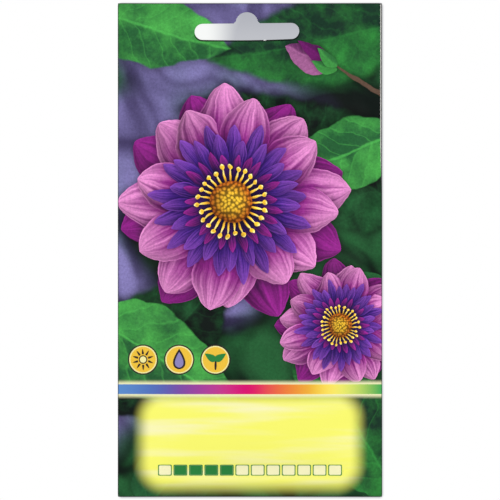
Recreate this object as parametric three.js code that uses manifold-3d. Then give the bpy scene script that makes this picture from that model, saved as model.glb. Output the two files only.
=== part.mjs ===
// A seed packet: a flat paper pouch with a hang slot punched through its glued header.
// Two paper leaves are glued together along the header, both sides and the bottom. Inside is a
// small foil sachet, and its seeds have run down to the bottom of it.
//
// Frame, in millimetres: +X to the right as the front is seen, +Y away from the viewer (the
// front faces -Y), +Z up. The origin is where a display peg bears: the top of the slot's hump,
// half way through the header.

import * as THREE from "three";
import { mergeVertices } from "three/addons/utils/BufferGeometryUtils.js";
import Module from "manifold-3d";

// ---------------------------------------------------------------- driving dimensions, in mm

const PACKET_WIDTH = 80.3;
const PACKET_HEIGHT = 150;
const TOP_MARGIN = 2.7; // from the packet's top edge down to the crest of the slot's hump
const CENTRE_X = 1; // the slot is punched this far left of the packet's middle

const PAPER = 0.12; // one leaf's thickness
const GLUE = 0.06; // the dried glue line
const GLUE_CLEARANCE = 0.01; // between the glue and each leaf

const HEADER_HEIGHT = 16; // the glued strip that the slot goes through
const SIDE_SEAM = 5;
const BOTTOM_SEAM = 6;
const GLUE_INSET = 0.8; // the glue stops this far short of a cut edge and of the hollow
const GLUE_GAP = 0.4; // between one glue strip and the next

const SLOT_LENGTH = 31.8;
const SLOT_HEIGHT = 4.9; // of the straight bar
const HUMP_RADIUS = 3.4;
const HUMP_FILLET = 0.6; // where the hump runs into the bar
const SLOT_TILT = THREE.MathUtils.degToRad(0.6); // its right end is a little high

const FRONT_BULGE = 1.85; // how far each leaf stands out over its contents
const BACK_BULGE = 1.5;
const POUCH_FULLEST = 0.3; // the fullest height, as a share of the hollow's height

const SACHET_WIDTH = 50;
const SACHET_HEIGHT = 62;
const SACHET_FOIL = 0.08;
const SACHET_WELD = 0.01; // from the mid-plane to each foil, where they are welded together
const SACHET_SEAM = 4;
const SACHET_LIFT = 4; // above the packet's bottom seam
const SACHET_FRONT_BULGE = 1.45;
const SACHET_BACK_BULGE = 1.2;
const SACHET_FULLEST = 0.34;

const SEED_LENGTH = 5.5;
const SEED_WIDTH = 3.8;
const SEED_THICKNESS = 1.7;
const SEED_TAPER = 0.35; // how much of its width a seed has lost at its pointed end

// Where each seed lies in the bottom of the sachet: its middle, and its turn in degrees.
const SEED_PLACES = [
  { x: -8.6, z: -121.8, turn: 25 },
  { x: -2.2, z: -124.4, turn: -14 },
  { x: 4.4, z: -123.2, turn: 68 },
  { x: 10, z: -120, turn: -38 },
  { x: 0.9, z: -118.4, turn: 8 },
];

// ---------------------------------------------------------------- derived places

const LEAF_FACE = GLUE / 2 + GLUE_CLEARANCE; // a leaf's inner face at the seams, from y = 0
const PUNCH_LENGTH = 10 * (LEAF_FACE + PAPER);

const PACKET = {
  left: CENTRE_X - PACKET_WIDTH / 2,
  right: CENTRE_X + PACKET_WIDTH / 2,
  bottom: TOP_MARGIN - PACKET_HEIGHT,
  top: TOP_MARGIN,
};
const POUCH = {
  left: PACKET.left + SIDE_SEAM,
  right: PACKET.right - SIDE_SEAM,
  bottom: PACKET.bottom + BOTTOM_SEAM,
  top: PACKET.top - HEADER_HEIGHT,
};
const SACHET = {
  left: CENTRE_X - SACHET_WIDTH / 2,
  right: CENTRE_X + SACHET_WIDTH / 2,
  bottom: POUCH.bottom + SACHET_LIFT,
  top: POUCH.bottom + SACHET_LIFT + SACHET_HEIGHT,
};
const SACHET_HOLLOW = {
  left: SACHET.left + SACHET_SEAM,
  right: SACHET.right - SACHET_SEAM,
  bottom: SACHET.bottom + SACHET_SEAM,
  top: SACHET.top - SACHET_SEAM,
};

// ---------------------------------------------------------------- finishes

function finish(colour, roughness, metalness = 0) {
  return new THREE.MeshStandardMaterial({ color: colour, roughness, metalness });
}

const PRINTED_FRONT = finish(0x6b3a7a, 0.4);
const PRINTED_BACK = finish(0xf1ecc4, 0.5);
const DRIED_GLUE = finish(0xe9e2cf, 0.45);
const FOIL = finish(0xc9ccd1, 0.3, 0.9);
const SEED_COAT = finish(0x2c211b, 0.6);

// ---------------------------------------------------------------- solids

const wasm = await Module();
wasm.setup();

function toSolid(geometry) {
  const corners = new THREE.BufferGeometry();
  corners.setAttribute("position", geometry.getAttribute("position"));
  corners.setIndex(geometry.getIndex());
  const merged = mergeVertices(corners, 1e-4);
  return new wasm.Manifold(
    new wasm.Mesh({
      numProp: 3,
      vertProperties: new Float32Array(merged.attributes.position.array),
      triVerts: new Uint32Array(merged.index.array),
    }),
  );
}

function toGeometry(solid) {
  const mesh = solid.getMesh();
  const geometry = new THREE.BufferGeometry();
  geometry.setAttribute("position", new THREE.BufferAttribute(mesh.vertProperties, mesh.numProp));
  geometry.setIndex(new THREE.BufferAttribute(mesh.triVerts, 1));
  geometry.computeVertexNormals();
  return geometry;
}

const packet = new THREE.Group();

function addPiece(name, geometry, material) {
  const piece = new THREE.Mesh(geometry, material);
  piece.name = name;
  packet.add(piece);
  return piece;
}

// ---------------------------------------------------------------- the hang slot

// A bar with round ends and a hump in the middle of its top edge. The origin is the hump's crest.
function slotOutline() {
  const endRadius = SLOT_HEIGHT / 2;
  const barTop = -HUMP_RADIUS;
  const barBottom = barTop - SLOT_HEIGHT;
  const endX = SLOT_LENGTH / 2 - endRadius;
  const endZ = barTop - endRadius;
  const filletX = HUMP_RADIUS + HUMP_FILLET;
  const filletAngle = Math.asin(HUMP_FILLET / HUMP_RADIUS);
  const filletEndX = HUMP_RADIUS * Math.cos(filletAngle);
  const outline = new THREE.Shape();
  outline.moveTo(-endX, barBottom);
  outline.lineTo(endX, barBottom);
  outline.absarc(endX, endZ, endRadius, -Math.PI / 2, Math.PI / 2, false);
  outline.lineTo(filletX, barTop);
  outline.quadraticCurveTo(HUMP_RADIUS, barTop, filletEndX, barTop + HUMP_FILLET);
  outline.absarc(0, barTop, HUMP_RADIUS, filletAngle, Math.PI - filletAngle, false);
  outline.quadraticCurveTo(-HUMP_RADIUS, barTop, -filletX, barTop);
  outline.lineTo(-endX, barTop);
  outline.absarc(-endX, endZ, endRadius, Math.PI / 2, (3 * Math.PI) / 2, false);
  return outline;
}

// The punch that makes the slot, long enough to go through both leaves and the glue.
function slotPunch() {
  const punch = new THREE.ExtrudeGeometry(slotOutline(), {
    depth: PUNCH_LENGTH,
    bevelEnabled: false,
    curveSegments: 8,
  });
  const indexed = mergeVertices(punch);
  indexed.rotateX(Math.PI / 2);
  indexed.translate(0, PUNCH_LENGTH / 2, 0);
  indexed.rotateY(-SLOT_TILT);
  return toSolid(indexed);
}

const PUNCH = slotPunch();

function punched(geometry) {
  return toGeometry(toSolid(geometry).subtract(PUNCH));
}

// ---------------------------------------------------------------- sheets that bulge

// How far a sheet stands out at (x, z), from 0 at the seams to 1 where the hollow is fullest.
function fullness(hollow, fullest, x, z) {
  const across = (2 * (x - hollow.left)) / (hollow.right - hollow.left) - 1;
  const up = (z - hollow.bottom) / (hollow.top - hollow.bottom);
  if (Math.abs(across) >= 1 || up <= 0 || up >= 1) return 0;
  const lean = Math.log(0.5) / Math.log(fullest);
  return (1 - Math.abs(across) ** 2.4) * Math.sin(Math.PI * up ** lean);
}

// Grid lines along one side of a sheet: both cut edges, and even steps over the hollow.
function gridLines(edge, hollowStart, hollowEnd, farEdge, steps) {
  const lines = [edge];
  for (let i = 0; i <= steps; i++) {
    lines.push(THREE.MathUtils.lerp(hollowStart, hollowEnd, i / steps));
  }
  lines.push(farEdge);
  return lines;
}

// One sheet, flat at its seams and standing out over its hollow. side is -1 for a front sheet
// and +1 for a back one, and face is how far its inner face is from y = 0 at the seams.
function sheet(area, hollow, { fullest, bulge, thickness, face, side, columns, rows }) {
  const xs = gridLines(area.left, hollow.left, hollow.right, area.right, columns);
  const zs = gridLines(area.bottom, hollow.bottom, hollow.top, area.top, rows);
  const geometry = new THREE.BoxGeometry(1, 1, 1, xs.length - 1, 1, zs.length - 1);
  const position = geometry.getAttribute("position");
  for (let i = 0; i < position.count; i++) {
    const x = xs[Math.round((position.getX(i) + 0.5) * (xs.length - 1))];
    const z = zs[Math.round((position.getZ(i) + 0.5) * (zs.length - 1))];
    const isOuter = side * position.getY(i) > 0;
    const depth = face + (isOuter ? thickness : 0) + bulge * fullness(hollow, fullest, x, z);
    position.setXYZ(i, x, side * depth, z);
  }
  return geometry;
}

// ---------------------------------------------------------------- the two paper leaves

const LEAF = { fullest: POUCH_FULLEST, thickness: PAPER, face: LEAF_FACE, columns: 14, rows: 22 };

function addLeaves() {
  const front = sheet(PACKET, POUCH, { ...LEAF, bulge: FRONT_BULGE, side: -1 });
  const back = sheet(PACKET, POUCH, { ...LEAF, bulge: BACK_BULGE, side: 1 });
  addPiece("front_leaf", punched(front), PRINTED_FRONT);
  addPiece("back_leaf", punched(back), PRINTED_BACK);
}

// ---------------------------------------------------------------- the glue between them

function glueStrip(left, right, bottom, top) {
  const strip = new THREE.BoxGeometry(right - left, GLUE, top - bottom);
  strip.translate((left + right) / 2, 0, (bottom + top) / 2);
  return strip;
}

function addGlue() {
  const left = PACKET.left + GLUE_INSET;
  const right = PACKET.right - GLUE_INSET;
  const headerBottom = POUCH.top + GLUE_INSET;
  const footTop = POUCH.bottom - GLUE_INSET;
  const sideBottom = footTop + GLUE_GAP;
  const sideTop = headerBottom - GLUE_GAP;
  const header = glueStrip(left, right, headerBottom, PACKET.top - GLUE_INSET);
  const foot = glueStrip(left, right, PACKET.bottom + GLUE_INSET, footTop);
  const leftSide = glueStrip(left, POUCH.left - GLUE_INSET, sideBottom, sideTop);
  const rightSide = glueStrip(POUCH.right + GLUE_INSET, right, sideBottom, sideTop);
  addPiece("header_glue", punched(header), DRIED_GLUE);
  addPiece("bottom_seam_glue", foot, DRIED_GLUE);
  addPiece("left_seam_glue", leftSide, DRIED_GLUE);
  addPiece("right_seam_glue", rightSide, DRIED_GLUE);
}

// ---------------------------------------------------------------- the sachet and its seeds

const SACHET_SHEET = {
  fullest: SACHET_FULLEST,
  thickness: SACHET_FOIL,
  face: SACHET_WELD,
  columns: 10,
  rows: 12,
};

function addSachet() {
  const front = sheet(SACHET, SACHET_HOLLOW, { ...SACHET_SHEET, bulge: SACHET_FRONT_BULGE, side: -1 });
  const back = sheet(SACHET, SACHET_HOLLOW, { ...SACHET_SHEET, bulge: SACHET_BACK_BULGE, side: 1 });
  addPiece("sachet_front_foil", front, FOIL);
  addPiece("sachet_back_foil", back, FOIL);
}

// A flattened seed, drawn in to a blunt point at one end.
function seedGeometry() {
  const seed = new THREE.SphereGeometry(0.5, 12, 8);
  seed.rotateZ(-Math.PI / 2);
  const position = seed.getAttribute("position");
  for (let i = 0; i < position.count; i++) {
    const taper = 1 - SEED_TAPER * Math.max(0, 2 * position.getX(i)) ** 2;
    position.setY(i, position.getY(i) * taper);
    position.setZ(i, position.getZ(i) * taper);
  }
  seed.scale(SEED_LENGTH, SEED_THICKNESS, SEED_WIDTH);
  return seed;
}

function addSeeds() {
  const middleY = (SACHET_BACK_BULGE - SACHET_FRONT_BULGE) / 2;
  SEED_PLACES.forEach(({ x, z, turn }, i) => {
    const seed = addPiece(`seed_${i + 1}`, seedGeometry(), SEED_COAT);
    seed.position.set(x, middleY, z);
    seed.rotation.y = THREE.MathUtils.degToRad(-turn);
  });
}

addLeaves();
addGlue();
addSachet();
addSeeds();

export default packet;
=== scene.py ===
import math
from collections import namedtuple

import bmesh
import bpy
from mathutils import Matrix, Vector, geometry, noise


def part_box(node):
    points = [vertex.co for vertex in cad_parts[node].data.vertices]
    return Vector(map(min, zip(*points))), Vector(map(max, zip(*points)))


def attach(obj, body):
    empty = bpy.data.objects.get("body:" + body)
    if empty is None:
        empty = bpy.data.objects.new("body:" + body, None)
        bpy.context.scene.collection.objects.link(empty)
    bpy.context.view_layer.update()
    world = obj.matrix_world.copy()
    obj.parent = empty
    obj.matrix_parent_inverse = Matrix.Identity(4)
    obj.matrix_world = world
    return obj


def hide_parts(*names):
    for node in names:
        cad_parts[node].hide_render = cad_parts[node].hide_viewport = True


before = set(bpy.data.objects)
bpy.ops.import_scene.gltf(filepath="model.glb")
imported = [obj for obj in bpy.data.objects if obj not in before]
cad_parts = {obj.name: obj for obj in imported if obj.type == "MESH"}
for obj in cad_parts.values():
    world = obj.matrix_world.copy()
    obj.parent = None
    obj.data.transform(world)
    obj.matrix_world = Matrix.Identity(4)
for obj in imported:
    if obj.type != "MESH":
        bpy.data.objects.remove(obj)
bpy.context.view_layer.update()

# A printed paper seed packet, hanging upright by its slot in front of a plain wall: two coated
# paper leaves glued together round their edges, and a foil sachet of seeds between them.
#
# Sizes and places are in millimetres and become metres where a mesh, a light or the camera is
# made. +X runs to the right as the printed front is seen, +Y from the front to the back, +Z up.
# The print is drawn in the plane of x and z, which its own nodes call X and Y. The Scale of a
# pattern is 1 over its size in millimetres.

METRE = 0.001  # one millimetre, in metres

Area = namedtuple("Area", "left right bottom top")


def area_of(node):
    """Where a CAD node's edges are, in millimetres."""
    low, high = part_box(node)
    return Area(low.x / METRE, high.x / METRE, low.z / METRE, high.z / METRE)


def inset(area, sides, bottom, top):
    """An area with its edges moved in."""
    return Area(area.left + sides, area.right - sides, area.bottom + bottom, area.top - top)


def depth_within(area, x, z):
    """How far inside an area's nearest edge a place is, in millimetres."""
    return min(x - area.left, area.right - x, z - area.bottom, area.top - z)


# ---------------------------------------------------------------- sizes

HEADER = 16  # how far down the glued header reaches
SIDE_SEAM = 5
BOTTOM_SEAM = 6
SACHET_SEAM = 4

PACKET = area_of("front_leaf")
POUCH = inset(PACKET, SIDE_SEAM, BOTTOM_SEAM, HEADER)
SACHET = area_of("sachet_front_foil")
SACHET_HOLLOW = inset(SACHET, SACHET_SEAM, SACHET_SEAM, SACHET_SEAM)

LEFT, RIGHT, BOTTOM, TOP = PACKET
CENTRE_X = (LEFT + RIGHT) / 2
CENTRE_Z = (BOTTOM + TOP) / 2
HALF_WIDTH = (RIGHT - LEFT) / 2
HALF_HEIGHT = (TOP - BOTTOM) / 2

PAPER = 0.12  # one leaf's thickness
LEAF_FACE = 0.04  # from the mid-plane to a leaf's inner face at the seams
GLUE_FACE = 0.03
FOIL = 0.08
FOIL_FACE = 0.01

FRONT_BULGE = 1.85
BACK_BULGE = 1.5
POUCH_FULLEST = 0.3  # the fullest height, as a share of the hollow's height
SACHET_FRONT_BULGE = 1.45
SACHET_BACK_BULGE = 1.2
SACHET_FULLEST = 0.34
SEAM_EASE = 3  # how soon above a bottom seam a sheet has taken up its full bulge

SLOT_LENGTH = 31.8
SLOT_HEIGHT = 4.9
HUMP_RADIUS = 3.4
HUMP_FILLET = 0.6
SLOT_TILT = math.radians(0.6)
SLOT_SAG = 0.25  # how far the slot's lower lip bows down in its middle

SEED_LENGTH = 5.5
SEED_WIDTH = 3.8
SEED_THICKNESS = 1.7
SEED_TAPER = 0.35  # how much of its width a seed has lost at its pointed end

# Where each seed lies: x and z of its middle, and its turn in degrees.
SEEDS = ((-8.6, -121.8, 25), (-2.2, -124.4, -14), (4.4, -123.2, 68), (10, -120, -38), (0.9, -118.4, 8))

LEAF_GRID = 1.0  # spacing of a leaf's mesh
FOIL_GRID = 0.8
GLUE_GRID = 1.1
EDGE_PEEK = 0.55  # how much of the back leaf shows past the front one, along its upper right edge
PEEK_FROM, PEEK_TO = -64, -38  # the z over which that sets in
CORNER_CUT = 0.06  # how far a worn corner is rounded off
GLUE_WANDER = 0.3  # how far a glue film's edge wanders in

# The photograph: its frame in pixels, and the packet's edges in it.
FRAME_PX = 500
PHOTO_LEFT_PX, PHOTO_RIGHT_PX = 118.0, 382.0
PHOTO_TOP_PX, PHOTO_BOTTOM_PX = 3.3, 496.7
MM_PER_PX = (TOP - BOTTOM) / (PHOTO_BOTTOM_PX - PHOTO_TOP_PX)


# ---------------------------------------------------------------- colours and nodes

MATH = "ShaderNodeMath"
VECTOR = "ShaderNodeVectorMath"
SPLIT = "ShaderNodeSeparateXYZ"
JOIN = "ShaderNodeCombineXYZ"
CLAMP = "ShaderNodeClamp"
MAPPING = "ShaderNodeMapping"
MIX = "ShaderNodeMix"
RANGE = "ShaderNodeMapRange"
NOISE = "ShaderNodeTexNoise"
CELLS = "ShaderNodeTexVoronoi"
GROUP = "ShaderNodeGroup"
BUMP = "ShaderNodeBump"
PRINCIPLED = "ShaderNodeBsdfPrincipled"
OUTPUT = "ShaderNodeOutputMaterial"
BLEND = {"data_type": "RGBA"}
SCALING = {"data_type": "RGBA", "clamp_factor": False}  # black to a colour, by any factor
SMOOTH = {"interpolation_type": "SMOOTHSTEP"}
CLAMPED = {"use_clamp": True}
TIMES, TIMES_PLUS, OVER, PLUS, MINUS, ABSOLUTE, LARGER, POWER, SINE, FRACTION, LENGTH, DOT = (
    {"operation": operation} for operation in (
        "MULTIPLY", "MULTIPLY_ADD", "DIVIDE", "ADD", "SUBTRACT", "ABSOLUTE", "MAXIMUM", "POWER",
        "SINE", "FRACT", "LENGTH", "DOT_PRODUCT")
)
FLAT = {"noise_dimensions": "2D"}
TEXTURE = {"vector_type": "TEXTURE"}
WHITE = (1.0, 1.0, 1.0, 1.0)
BLACK = (0.0, 0.0, 0.0, 1.0)
ORIGIN = (0.0, 0.0, 0.0)


def linear(hex_colour):
    """An sRGB hex colour, such as "4a9754", as linear RGBA."""
    parts = [int(hex_colour[i : i + 2], 16) / 255 for i in (0, 2, 4)]
    return (*[p / 12.92 if p <= 0.04045 else ((p + 0.055) / 1.055) ** 2.4 for p in parts], 1.0)


def add(tree, kind, settings=None, links=None):
    """Adds a node. settings are its own properties. links sets its inputs, by name or number, each
    to a value, to a socket, or to another node, which stands for its first output in use."""
    node = tree.nodes.new(kind)
    for name, value in (settings or {}).items():
        setattr(node, name, value)
    for key, value in (links or {}).items():
        named = [s for s in node.inputs if s.enabled and s.name == key]
        socket = named[0] if named else node.inputs[key]
        if isinstance(value, bpy.types.Node):
            value = next(s for s in value.outputs if s.enabled)
        if isinstance(value, bpy.types.NodeSocket):
            tree.links.new(value, socket)
        else:
            socket.default_value = value
    return node


def chain(tree, kind, value, *steps):
    """Adds nodes of one kind one after another, each with the last one's output as its first
    input. A step is a node's settings, then its other inputs."""
    for settings, *others in steps:
        value = add(tree, kind, settings, dict(enumerate((value, *others))))
    return value


def span(value, start, end, low=0.0, high=1.0):
    """The inputs of a range node that takes start to low and end to high."""
    return {"Value": value, "From Min": start, "From Max": end, "To Min": low, "To Max": high}


def noise_span(value, low, high):
    """The same for a noise, which seldom leaves the middle of its range."""
    return span(value, 0.3, 0.7, low, high)


def new_material(name):
    """An empty node material and its tree."""
    material = bpy.data.materials.new(name)
    material.use_nodes = True
    material.node_tree.nodes.clear()
    return material, material.node_tree


def new_shape(name, inputs):
    """Starts a node group that paints a shape. Its inputs are given as name: default. Returns its
    tree, its inputs and the place. The place takes none of the colour under the shape, but asking
    for it makes the renderer finish the shapes below first: all at once, they are too many."""
    tree = bpy.data.node_groups.new(name, "ShaderNodeTree")
    for label, default in inputs.items():
        size = len(default) if isinstance(default, tuple) else 1
        kind = {1: "NodeSocketFloat", 3: "NodeSocketVector", 4: "NodeSocketColor"}[size]
        socket = tree.interface.new_socket(label, in_out="INPUT", socket_type=kind)
        socket.default_value = default
    tree.interface.new_socket("Colour", in_out="OUTPUT", socket_type="NodeSocketColor")
    given = add(tree, "NodeGroupInput").outputs
    place = add(tree, VECTOR, TIMES_PLUS, {0: given["Under"], 1: ORIGIN, 2: given["Place"]})
    return tree, given, place


def place_mm(tree):
    """Where a point of the packet is, in millimetres: x across and z up, as X and Y."""
    metres = add(tree, "ShaderNodeTexCoord").outputs["Object"]
    axes = add(tree, SPLIT, links={0: metres})
    flat = add(tree, JOIN, links={"X": axes.outputs["X"], "Y": axes.outputs["Z"]})
    return add(tree, VECTOR, {"operation": "SCALE"}, {0: flat, "Scale": 1 / METRE})


def depth_in_box(tree, place, centre, half_size, corner):
    """How far a point is inside a box with round corners, in millimetres, and less than 0 out of
    it. It counts from the nearest edge only within the corner radius of it."""
    rounding = add(tree, JOIN, links={"X": corner, "Y": corner})
    away = chain(tree, VECTOR, place, (MINUS, centre), (ABSOLUTE,), (MINUS, half_size),
                 (PLUS, rounding), (LARGER, ORIGIN), (TIMES, (1.0, 1.0, 0.0)), (LENGTH,))
    return add(tree, MATH, MINUS, {0: corner, 1: away})


def depth_in_area(tree, place, area, corner):
    """The same for an area."""
    centre = ((area.left + area.right) / 2, (area.bottom + area.top) / 2, 0)
    half_size = ((area.right - area.left) / 2, (area.top - area.bottom) / 2, 0)
    return depth_in_box(tree, place, centre, half_size, corner)


# ---------------------------------------------------------------- the painter's shapes
# Each is a node group that paints one shape over the colour under it, with an edge as crisp or as
# soft as Soft makes it and, where it is asked for, a shadow on what lies under.

EDGE = 0.1  # half the width of a crisp printed edge
LIT_FROM = (0.6, 0.8, 0.0)  # the flowers are drawn as lit from the upper right
LIT_ACROSS = (0.8, -0.6, 0.0)  # the same, turned by a quarter
VEIN_PAIRS, VEIN_SWEEP = 8.0, -2.0  # a leaf's side veins, and how far forward they run
STREAKS, STREAK_SHIFT = 6.0, 0.7  # a petal's streaks, and how far they shift its colours
DRAW_STEP = 1.37  # sets one petal's draw of chances apart from the next one's
SHORTEST = 0.14  # how much shorter than the longest petal the shortest may be
COMMON_INPUTS = {
    "Under": WHITE, "Place": ORIGIN, "Cover": 1.0, "Soft": 0.0, "Shadow": 0.0, "Reach": 1.6,
}


def lay_over(tree, given, inside, colour):
    """Ends a group: shades what lies under, then lays the colour over it. inside is how far a
    point is within the shape, in millimetres, and less than 0 outside it."""
    out = add(tree, MATH, TIMES, {0: given["Reach"], 1: -1.0})
    shade = add(tree, RANGE, SMOOTH, span(inside, out, given["Reach"], 0.0, given["Shadow"]))
    under = add(tree, MIX, BLEND, {"Factor": shade, "A": given["Under"], "B": BLACK})
    fade = add(tree, MATH, PLUS, {0: given["Soft"], 1: EDGE})
    begin = add(tree, MATH, TIMES, {0: fade, 1: -1.0})
    mask = add(tree, RANGE, SMOOTH, span(inside, begin, fade, 0.0, given["Cover"]))
    mixed = add(tree, MIX, BLEND, {"Factor": mask, "A": under, "B": colour})
    add(tree, "NodeGroupOutput", links={"Colour": mixed})
    return tree


def spindle(tree, along, run, length, side, half_width, widest, bluntness):
    """The pointed outline of a leaf or a petal: its half width at a share of the way along it, and
    how far inside it a point is. The less widest is, the nearer to its base it is widest."""
    width = chain(tree, MATH, along, (POWER, widest), (TIMES, math.pi), (SINE,),
                  (POWER, bluntness), (TIMES, half_width))
    covered = add(tree, MATH, TIMES, {0: along, 1: length})
    beyond = chain(tree, MATH, run, (MINUS, covered), (ABSOLUTE,))
    return width, chain(tree, MATH, width, (MINUS, side), (MINUS, beyond))


def blade_group():
    """A leaf: a pointed blade with a wavy edge, a pale midrib and side veins."""
    tree, given, place = new_shape("paint_blade", COMMON_INPUTS | {
        "Base": ORIGIN, "Turn": ORIGIN, "Length": 10.0, "Half Width": 3.0, "Early": 0.7,
        "Bend": 0.0, "Tatter": 0.5, "Ragged": 0.0, "Mottle": 0.5, "Veins": 0.0,
        "Dark": WHITE, "Light": WHITE,
    })
    local = add(tree, MAPPING, TEXTURE,
                {"Vector": place, "Location": given["Base"], "Rotation": given["Turn"]})
    axes = add(tree, SPLIT, links={0: local}).outputs
    along = add(tree, MATH, OVER | CLAMPED, {0: axes["X"], 1: given["Length"]})
    across = chain(tree, MATH, along, (TIMES, along), (TIMES_PLUS, given["Bend"], axes["Y"]))
    side = add(tree, MATH, ABSOLUTE, {0: across})
    _, even_inside = spindle(tree, along, axes["X"], given["Length"], side, given["Half Width"],
                             given["Early"], bluntness=0.85)
    inside = chain(tree, MATH, given["Tatter"], (MINUS, 0.6),
                   (TIMES_PLUS, given["Ragged"], even_inside))

    # Side veins run forward from the midrib, unevenly, and the flesh is darker just behind each.
    stations = add(tree, MATH, TIMES_PLUS, {0: along, 1: VEIN_PAIRS, 2: given["Tatter"]})
    swept = chain(tree, MATH, side, (OVER, given["Half Width"]), (TIMES_PLUS, VEIN_SWEEP, stations))
    phase = add(tree, MATH, FRACTION, {0: swept})
    fold = add(tree, MATH, {"operation": "PINGPONG"}, {0: swept, 1: 0.5})
    vein = add(tree, RANGE, SMOOTH, span(fold, 0.01, 0.08, 0.8, 0.0))
    rib = add(tree, RANGE, SMOOTH, span(side, 0.1, 0.6, 1.8, 0.0))
    pale = chain(tree, MATH, vein, (LARGER, rib), (TIMES | CLAMPED, given["Veins"]))

    # One half catches more light than the other, and the flesh between the veins is mottled.
    tilt = add(tree, RANGE, SMOOTH, span(across, -1.5, 1.5, 0.1, 0.55))
    patch = add(tree, MATH, TIMES_PLUS, {0: given["Mottle"], 1: 2.0, 2: -1.0})
    tone = chain(tree, MATH, phase, (TIMES, given["Veins"]), (TIMES_PLUS, 0.5, tilt),
                 (PLUS | CLAMPED, patch))
    flesh = add(tree, MIX, BLEND, {"Factor": tone, "A": given["Dark"], "B": given["Light"]})
    bright = add(tree, MIX, SCALING, {"Factor": 1.3, "A": BLACK, "B": given["Light"]})
    veined = add(tree, MIX, BLEND, {"Factor": pale, "A": flesh, "B": bright})
    return lay_over(tree, given, inside, veined)


def petals_group():
    """A ring of petals round a centre, each a little different in length, lean and tone."""
    tree, given, place = new_shape("paint_petals", COMMON_INPUTS | {
        "Centre": ORIGIN, "Petals": 8.0, "Start": 0.0, "Inner": 1.0, "Outer": 10.0,
        "Half Width": 2.0, "Widest": 1.4, "Seed": 0.0, "Vary": 1.0, "Relief": 1.0,
        "Base": WHITE, "Middle": WHITE, "Tip": WHITE,
    })
    offset = add(tree, VECTOR, MINUS, {0: place, 1: given["Centre"]})
    axes = add(tree, SPLIT, links={0: offset}).outputs
    radius = add(tree, VECTOR, LENGTH, {0: offset})

    # Which petal's sector the point is in, and where it is across that sector.
    angle = add(tree, MATH, {"operation": "ARCTAN2"}, {0: axes["Y"], 1: axes["X"]})
    slots = chain(tree, MATH, angle, (OVER, math.tau), (TIMES_PLUS, given["Petals"], given["Start"]))
    draw = chain(tree, MATH, slots, ({"operation": "FLOOR"},),
                 ({"operation": "WRAP"}, given["Petals"], 0.0),
                 (TIMES_PLUS, DRAW_STEP, given["Seed"]))
    chance = add(tree, "ShaderNodeTexWhiteNoise", {"noise_dimensions": "1D"}, {"W": draw})
    chances = add(tree, "ShaderNodeSeparateColor", links={0: chance.outputs["Color"]}).outputs
    lean = add(tree, RANGE, links=span(chances["Red"], 0, 1, -0.44, -0.56))
    sector = add(tree, MATH, OVER, {0: math.tau, 1: given["Petals"]})
    swing = chain(tree, MATH, slots, (FRACTION,), (PLUS, lean), (TIMES, sector))
    sideways = chain(tree, MATH, swing, (SINE,), (TIMES, radius))
    outward = chain(tree, MATH, swing, ({"operation": "COSINE"},), (TIMES, radius))

    # How far along its petal the point is, and how wide the petal is there.
    scale = chain(tree, MATH, chances["Green"], (TIMES, given["Vary"]), (TIMES_PLUS, -SHORTEST, 1.0))
    start = add(tree, MATH, TIMES, {0: given["Inner"], 1: scale})
    length = chain(tree, MATH, given["Outer"], (TIMES, scale), (MINUS, start))
    run = add(tree, MATH, MINUS, {0: outward, 1: start})
    along = add(tree, MATH, OVER | CLAMPED, {0: run, 1: length})
    bow = add(tree, RANGE, links=span(chances["Blue"], 0, 1, -0.5, 0.5))
    bend = add(tree, MATH, TIMES, {0: bow, 1: given["Half Width"]})
    swept = chain(tree, MATH, along, (TIMES, along), (TIMES_PLUS, bend, sideways))
    side = add(tree, MATH, ABSOLUTE, {0: swept})
    width, inside = spindle(tree, along, run, length, side, given["Half Width"], given["Widest"],
                            bluntness=0.7)

    # Fine streaks run along the petal, and the colours run from base to tip along them.
    least = add(tree, MATH, LARGER, {0: width, 1: 0.01})
    across = add(tree, MATH, OVER, {0: swept, 1: least})
    bounded = add(tree, CLAMP, links={"Value": across, "Min": -1.0, "Max": 1.0})
    strand = add(tree, MATH, TIMES, {0: bounded, 1: STREAKS})
    streak_place = add(tree, JOIN, links={"X": strand, "Y": along, "Z": draw})
    streak = add(tree, NOISE, links={"Vector": streak_place, "Scale": 1.0, "Detail": 3.0})
    shifted = chain(tree, MATH, streak, (TIMES_PLUS, STREAK_SHIFT, -STREAK_SHIFT / 2), (PLUS, along))
    low = add(tree, RANGE, SMOOTH, span(shifted, 0.1, 0.65))
    high = add(tree, RANGE, SMOOTH, span(shifted, 0.5, 1.0))
    inner = add(tree, MIX, BLEND, {"Factor": low, "A": given["Base"], "B": given["Middle"]})
    body = add(tree, MIX, BLEND, {"Factor": high, "A": inner, "B": given["Tip"]})

    # Relief: rounded across, lit from the upper right, with a thin bright rim.
    streaked = add(tree, RANGE, links=noise_span(streak, -0.2, 0.2))
    crown = chain(tree, MATH, bounded, (TIMES, bounded), (TIMES_PLUS, -0.35, 0.1))
    facing = add(tree, VECTOR, DOT, {0: offset, 1: LIT_ACROSS})
    glance = chain(tree, MATH, facing, (OVER, radius), (TIMES, bounded))
    shaped = add(tree, MATH, PLUS, {0: streaked, 1: crown})
    rim = add(tree, RANGE, SMOOTH, span(inside, 0.1, 0.6, 0.35, 0.0))
    own = add(tree, RANGE, links=span(chance.outputs["Value"], 0, 1, -0.15, 0.15))
    relief = chain(tree, MATH, glance, (TIMES_PLUS, 0.35, shaped), (PLUS, rim), (PLUS, own),
                   (TIMES_PLUS, given["Relief"], 1.0))
    colour = add(tree, MIX, SCALING, {"Factor": relief, "A": BLACK, "B": body})
    return lay_over(tree, given, inside, colour)


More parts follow.
